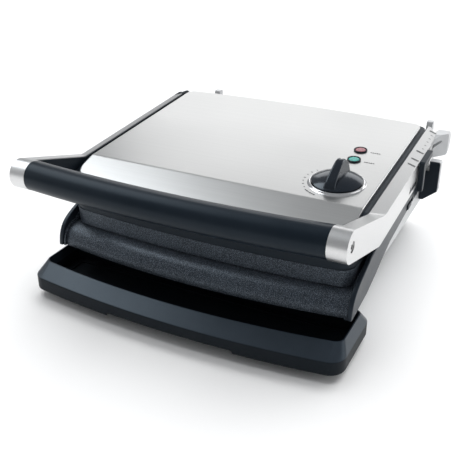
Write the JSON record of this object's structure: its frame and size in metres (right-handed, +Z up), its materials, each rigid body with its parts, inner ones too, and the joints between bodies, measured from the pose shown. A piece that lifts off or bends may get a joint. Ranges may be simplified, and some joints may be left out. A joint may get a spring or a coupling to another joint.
{
  "type": "panini press",
  "caption": "Contact grill with a hinged, floating upper plate between two arms, a bowed front handle, a dial, lamps and a pull-out drip tray.",
  "frame": {"origin": "on the table, below the middle of the closed press", "axes": "+Z up, the handle and drip tray face -Y, +X is the user's right hand"},
  "size_m": [0.392, 0.4315, 0.1653],
  "materials": {
    "lid_steel": "satin, brushed from side to side",
    "satin_aluminium": "satin, bead blasted",
    "nonstick_cast": "cast, coated with a speckled non-stick",
    "dark_plastic": "fine moulded grain",
    "grip_plastic": "soft satin",
    "tray_plastic": "semi-gloss moulded",
    "knob_plastic": "gloss",
    "silver_plastic": "silver pigmented, satin",
    "bezel_plastic": "blue-grey, satin",
    "chrome": "bright",
    "element_steel": "heat-darkened",
    "inner_steel": "galvanised",
    "screw_steel": "plated",
    "rubber": "matte",
    "red_lens": "translucent",
    "green_lens": "translucent",
    "lamp_body": "clear",
    "white_mark": "printed white",
    "ceramic": "glazed"
  },
  "bodies": {
    "base": {"base_bezel": "bezel_plastic", "base_shell": "silver_plastic", "bottom_cover": "inner_steel", "bottom_screws": "screw_steel", "feet": "rubber", "lower_plate": "nonstick_cast", "lower_element": "element_steel", "lower_reflector": "inner_steel", "terminal_block": "ceramic", "thermal_fuse": "inner_steel", "cord_gland": "rubber", "tray_guides": "dark_plastic", "left_rest_tower": "silver_plastic", "right_rest_tower": "silver_plastic", "left_tower_pad": "dark_plastic", "right_tower_pad": "dark_plastic", "left_hinge_bracket": "dark_plastic", "right_hinge_bracket": "dark_plastic", "hinge_pins": "screw_steel", "rear_posts": "silver_plastic", "post_pads": "rubber"},
    "arms": {"right_arm": "satin_aluminium", "left_arm": "satin_aluminium", "left_hinge_cover": "dark_plastic", "right_hinge_cover": "silver_plastic", "right_arm_liner": "dark_plastic", "left_arm_liner": "dark_plastic", "grip": "grip_plastic", "handle_bar": "inner_steel", "handle_screws": "screw_steel", "float_pins": "screw_steel", "clip_rack": "dark_plastic"},
    "head": {"upper_plate": "nonstick_cast", "upper_element": "element_steel", "upper_reflector": "inner_steel", "upper_housing": "dark_plastic", "lid_cover": "lid_steel", "dial_ring": "chrome", "thermostat": "inner_steel", "red_lens": "red_lens", "green_lens": "green_lens", "lamp_rims": "dark_plastic", "lamp_holders": "lamp_body"},
    "dial": {"knob": "knob_plastic", "knob_dot": "white_mark", "knob_shaft": "screw_steel"},
    "clip": {"height_clip": "dark_plastic"},
    "tray": {"drip_tray": "tray_plastic"},
    "right_latch": {"right_plate_latch": "dark_plastic"},
    "left_latch": {"left_plate_latch": "dark_plastic"}
  },
  "joints": [
    {"name": "arm_hinge", "type": "hinge", "parent": "base", "child": "arms", "pos_m": [0, 0.11922, 0.1345], "axis": [-1, 0, 0], "range_deg": [0, 100]},
    {"name": "head_float", "type": "hinge", "parent": "arms", "child": "head", "pos_m": [0, 0.08822, 0.13024], "axis": [-1, 0, 0], "range_deg": [0, 7]},
    {"name": "dial_turn", "type": "hinge", "parent": "head", "child": "dial", "pos_m": [0.119, -0.05382, 0.14235], "axis": [0, -0.0628, 0.998], "range_deg": [0, 180]},
    {"name": "clip_slide", "type": "slide", "parent": "arms", "child": "clip", "axis": [0, 0.998, 0.0628], "range_m": [-0.01, 0.014]},
    {"name": "tray_slide", "type": "slide", "parent": "base", "child": "tray", "axis": [0, -1, 0], "range_m": [0, 0.11]},
    {"name": "right_latch_slide", "type": "slide", "parent": "base", "child": "right_latch", "axis": [0, 0.998, 0.0628], "range_m": [0, 0.01], "stiffness_N_per_m": 300, "springref_m": -0.003},
    {"name": "left_latch_slide", "type": "slide", "parent": "base", "child": "left_latch", "axis": [0, 0.998, 0.0628], "range_m": [0, 0.01], "stiffness_N_per_m": 300, "springref_m": -0.003}
  ]
}
